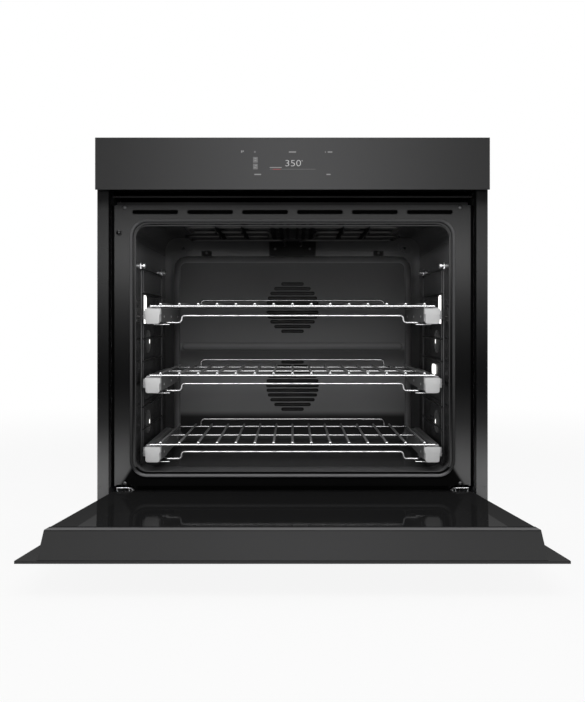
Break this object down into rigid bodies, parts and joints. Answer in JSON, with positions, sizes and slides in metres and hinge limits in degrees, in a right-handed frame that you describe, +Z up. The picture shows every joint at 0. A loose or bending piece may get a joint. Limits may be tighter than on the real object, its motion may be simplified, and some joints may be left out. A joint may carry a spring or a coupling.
{
  "type": "wall oven",
  "caption": "Built-in wall oven with a drop-down glass door, wire racks on telescopic slides, twin convection fans and a touch control fascia.",
  "frame": {"origin": "on the floor of the niche, in the plane of the cabinet face, at the middle of the width", "axes": "+X to the right seen from the front, +Y into the cabinet, +Z up"},
  "size_m": [0.758, 1.16, 0.7352],
  "materials": {
    "zinc_steel": "galvanised sheet, spangled and dull",
    "trim_black": "satin black powder coat",
    "frame_enamel": "glossy black enamel",
    "cavity_enamel": "dark grey fired enamel with fine speckle",
    "baffle_enamel": "dark grey fired enamel",
    "insulation_wool": "pressed mineral wool blanket",
    "seal_braid": "braided glass fibre over a wire core",
    "element_tube": "heat-darkened steel sheath",
    "dark_steel": "dark heat-proof coat",
    "motor_steel": "lacquered laminations and zinc plated shell",
    "graphite_glass": "graphite back-printed tempered glass, satin gloss",
    "black_glass": "black heat-reflecting tempered glass",
    "clear_glass": "clear tempered glass",
    "graphite_metal": "graphite satin lacquer",
    "door_steel": "black coated sheet",
    "display_black": "black display pane",
    "circuit_board": "green solder mask with black parts",
    "lamp_ceramic": "white ceramic",
    "lamp_bulb": "clear halogen capsule",
    "chrome_wire": "bright plated wire",
    "slide_steel": "dull rolled steel",
    "slide_cap": "light satin cap",
    "hinge_steel": "zinc plated pressed steel",
    "bright_steel": "polished steel",
    "black_plastic": "black heat-proof plastic",
    "screw_steel": "pan head screws",
    "fan_steel": "pressed steel",
    "fan_aluminium": "thin aluminium blades"
  },
  "bodies": {
    "oven": {"chassis_base": "zinc_steel", "side_panels": "zinc_steel", "top_cover": "zinc_steel", "rear_cover": "zinc_steel", "mounting_trim": "trim_black", "front_frame": "frame_enamel", "cavity_liner": "cavity_enamel", "insulation": "insulation_wool", "door_seal": "seal_braid", "fan_baffle": "baffle_enamel", "broil_element": "element_tube", "broil_terminal_cover": "dark_steel", "bake_element": "element_tube", "ring_elements": "element_tube", "fan_motors": "motor_steel", "blower_housing": "zinc_steel", "blower_motor": "motor_steel", "air_duct": "zinc_steel", "outlet_lip": "trim_black", "fascia_glass": "graphite_glass", "fascia_carrier": "zinc_steel", "display_module": "display_black", "circuit_boards": "circuit_board", "terminal_box": "zinc_steel", "lamp_holders": "lamp_ceramic", "lamp_lenses": "clear_glass", "lamp_bulbs": "lamp_bulb", "temperature_sensor": "chrome_wire", "probe_socket": "dark_steel", "side_ladders": "chrome_wire", "ladder_knobs": "chrome_wire", "slide_rails_fixed": "slide_steel", "hinge_arms": "hinge_steel", "door_switch": "black_plastic", "frame_screws": "screw_steel"},
    "door": {"door_outer_glass": "graphite_glass", "door_middle_glasses": "clear_glass", "door_inner_glass": "black_glass", "door_top_cap": "graphite_metal", "door_frame": "door_steel", "door_glass_clips": "black_plastic", "door_hinges": "hinge_steel"},
    "upper_fan": {"fan_wheel_upper": "fan_steel"},
    "lower_fan": {"fan_wheel_lower": "fan_steel"},
    "cooling_blower": {"blower_wheel": "fan_aluminium"},
    "switch_button": {"switch_plunger": "black_plastic"},
    "left_clamp": {"hinge_clamp_left": "bright_steel"},
    "right_clamp": {"hinge_clamp_right": "bright_steel"},
    "top_rack": {"rack_1": "chrome_wire", "slide_inner_1": "slide_steel", "slide_caps_1": "slide_cap"},
    "top_slide": {"slide_mid_1": "slide_steel"},
    "middle_rack": {"rack_2": "chrome_wire", "slide_inner_2": "slide_steel", "slide_caps_2": "slide_cap"},
    "middle_slide": {"slide_mid_2": "slide_steel"},
    "bottom_rack": {"rack_3": "chrome_wire", "slide_inner_3": "slide_steel", "slide_caps_3": "slide_cap"},
    "bottom_slide": {"slide_mid_3": "slide_steel"}
  },
  "joints": [
    {"name": "door_tilt", "type": "hinge", "parent": "oven", "child": "door", "pos_m": [0, 0.0105, 0.045], "axis": [-1, 0, 0], "range_deg": [0, 85.8]},
    {"name": "top_rack_pull", "type": "slide", "parent": "oven", "child": "top_rack", "axis": [0, 1, 0], "range_m": [-0.32, 0]},
    {"name": "top_slide_pull", "type": "slide", "parent": "oven", "child": "top_slide", "axis": [0, 1, 0], "range_m": [-0.16, 0]},
    {"name": "middle_rack_pull", "type": "slide", "parent": "oven", "child": "middle_rack", "axis": [0, 1, 0], "range_m": [-0.32, 0]},
    {"name": "middle_slide_pull", "type": "slide", "parent": "oven", "child": "middle_slide", "axis": [0, 1, 0], "range_m": [-0.16, 0]},
    {"name": "bottom_rack_pull", "type": "slide", "parent": "oven", "child": "bottom_rack", "axis": [0, 1, 0], "range_m": [-0.32, 0]},
    {"name": "bottom_slide_pull", "type": "slide", "parent": "oven", "child": "bottom_slide", "axis": [0, 1, 0], "range_m": [-0.16, 0]},
    {"name": "upper_fan_spin", "type": "hinge", "parent": "oven", "child": "upper_fan", "pos_m": [0, 0.488, 0.4139], "axis": [0, 1, 0], "continuous": true},
    {"name": "lower_fan_spin", "type": "hinge", "parent": "oven", "child": "lower_fan", "pos_m": [0, 0.488, 0.2251], "axis": [0, 1, 0], "continuous": true},
    {"name": "cooling_blower_spin", "type": "hinge", "parent": "oven", "child": "cooling_blower", "pos_m": [0, 0.4397, 0.6772], "axis": [1, 0, 0], "continuous": true},
    {"name": "switch_press", "type": "slide", "parent": "oven", "child": "switch_button", "axis": [0, 1, 0], "range_m": [0, 0.004], "stiffness_N_per_m": 300, "springref_m": -0.001},
    {"name": "left_clamp_flip", "type": "hinge", "parent": "oven", "child": "left_clamp", "pos_m": [-0.333, 0.03, 0.045], "axis": [-1, 0, 0], "range_deg": [0, 45]},
    {"name": "right_clamp_flip", "type": "hinge", "parent": "oven", "child": "right_clamp", "pos_m": [0.333, 0.03, 0.045], "axis": [-1, 0, 0], "range_deg": [0, 45]}
  ],
  "couplings": [
    {"joint": "top_slide_pull", "follows": "top_rack_pull", "ratio": 0.5},
    {"joint": "middle_slide_pull", "follows": "middle_rack_pull", "ratio": 0.5},
    {"joint": "bottom_slide_pull", "follows": "bottom_rack_pull", "ratio": 0.5}
  ]
}
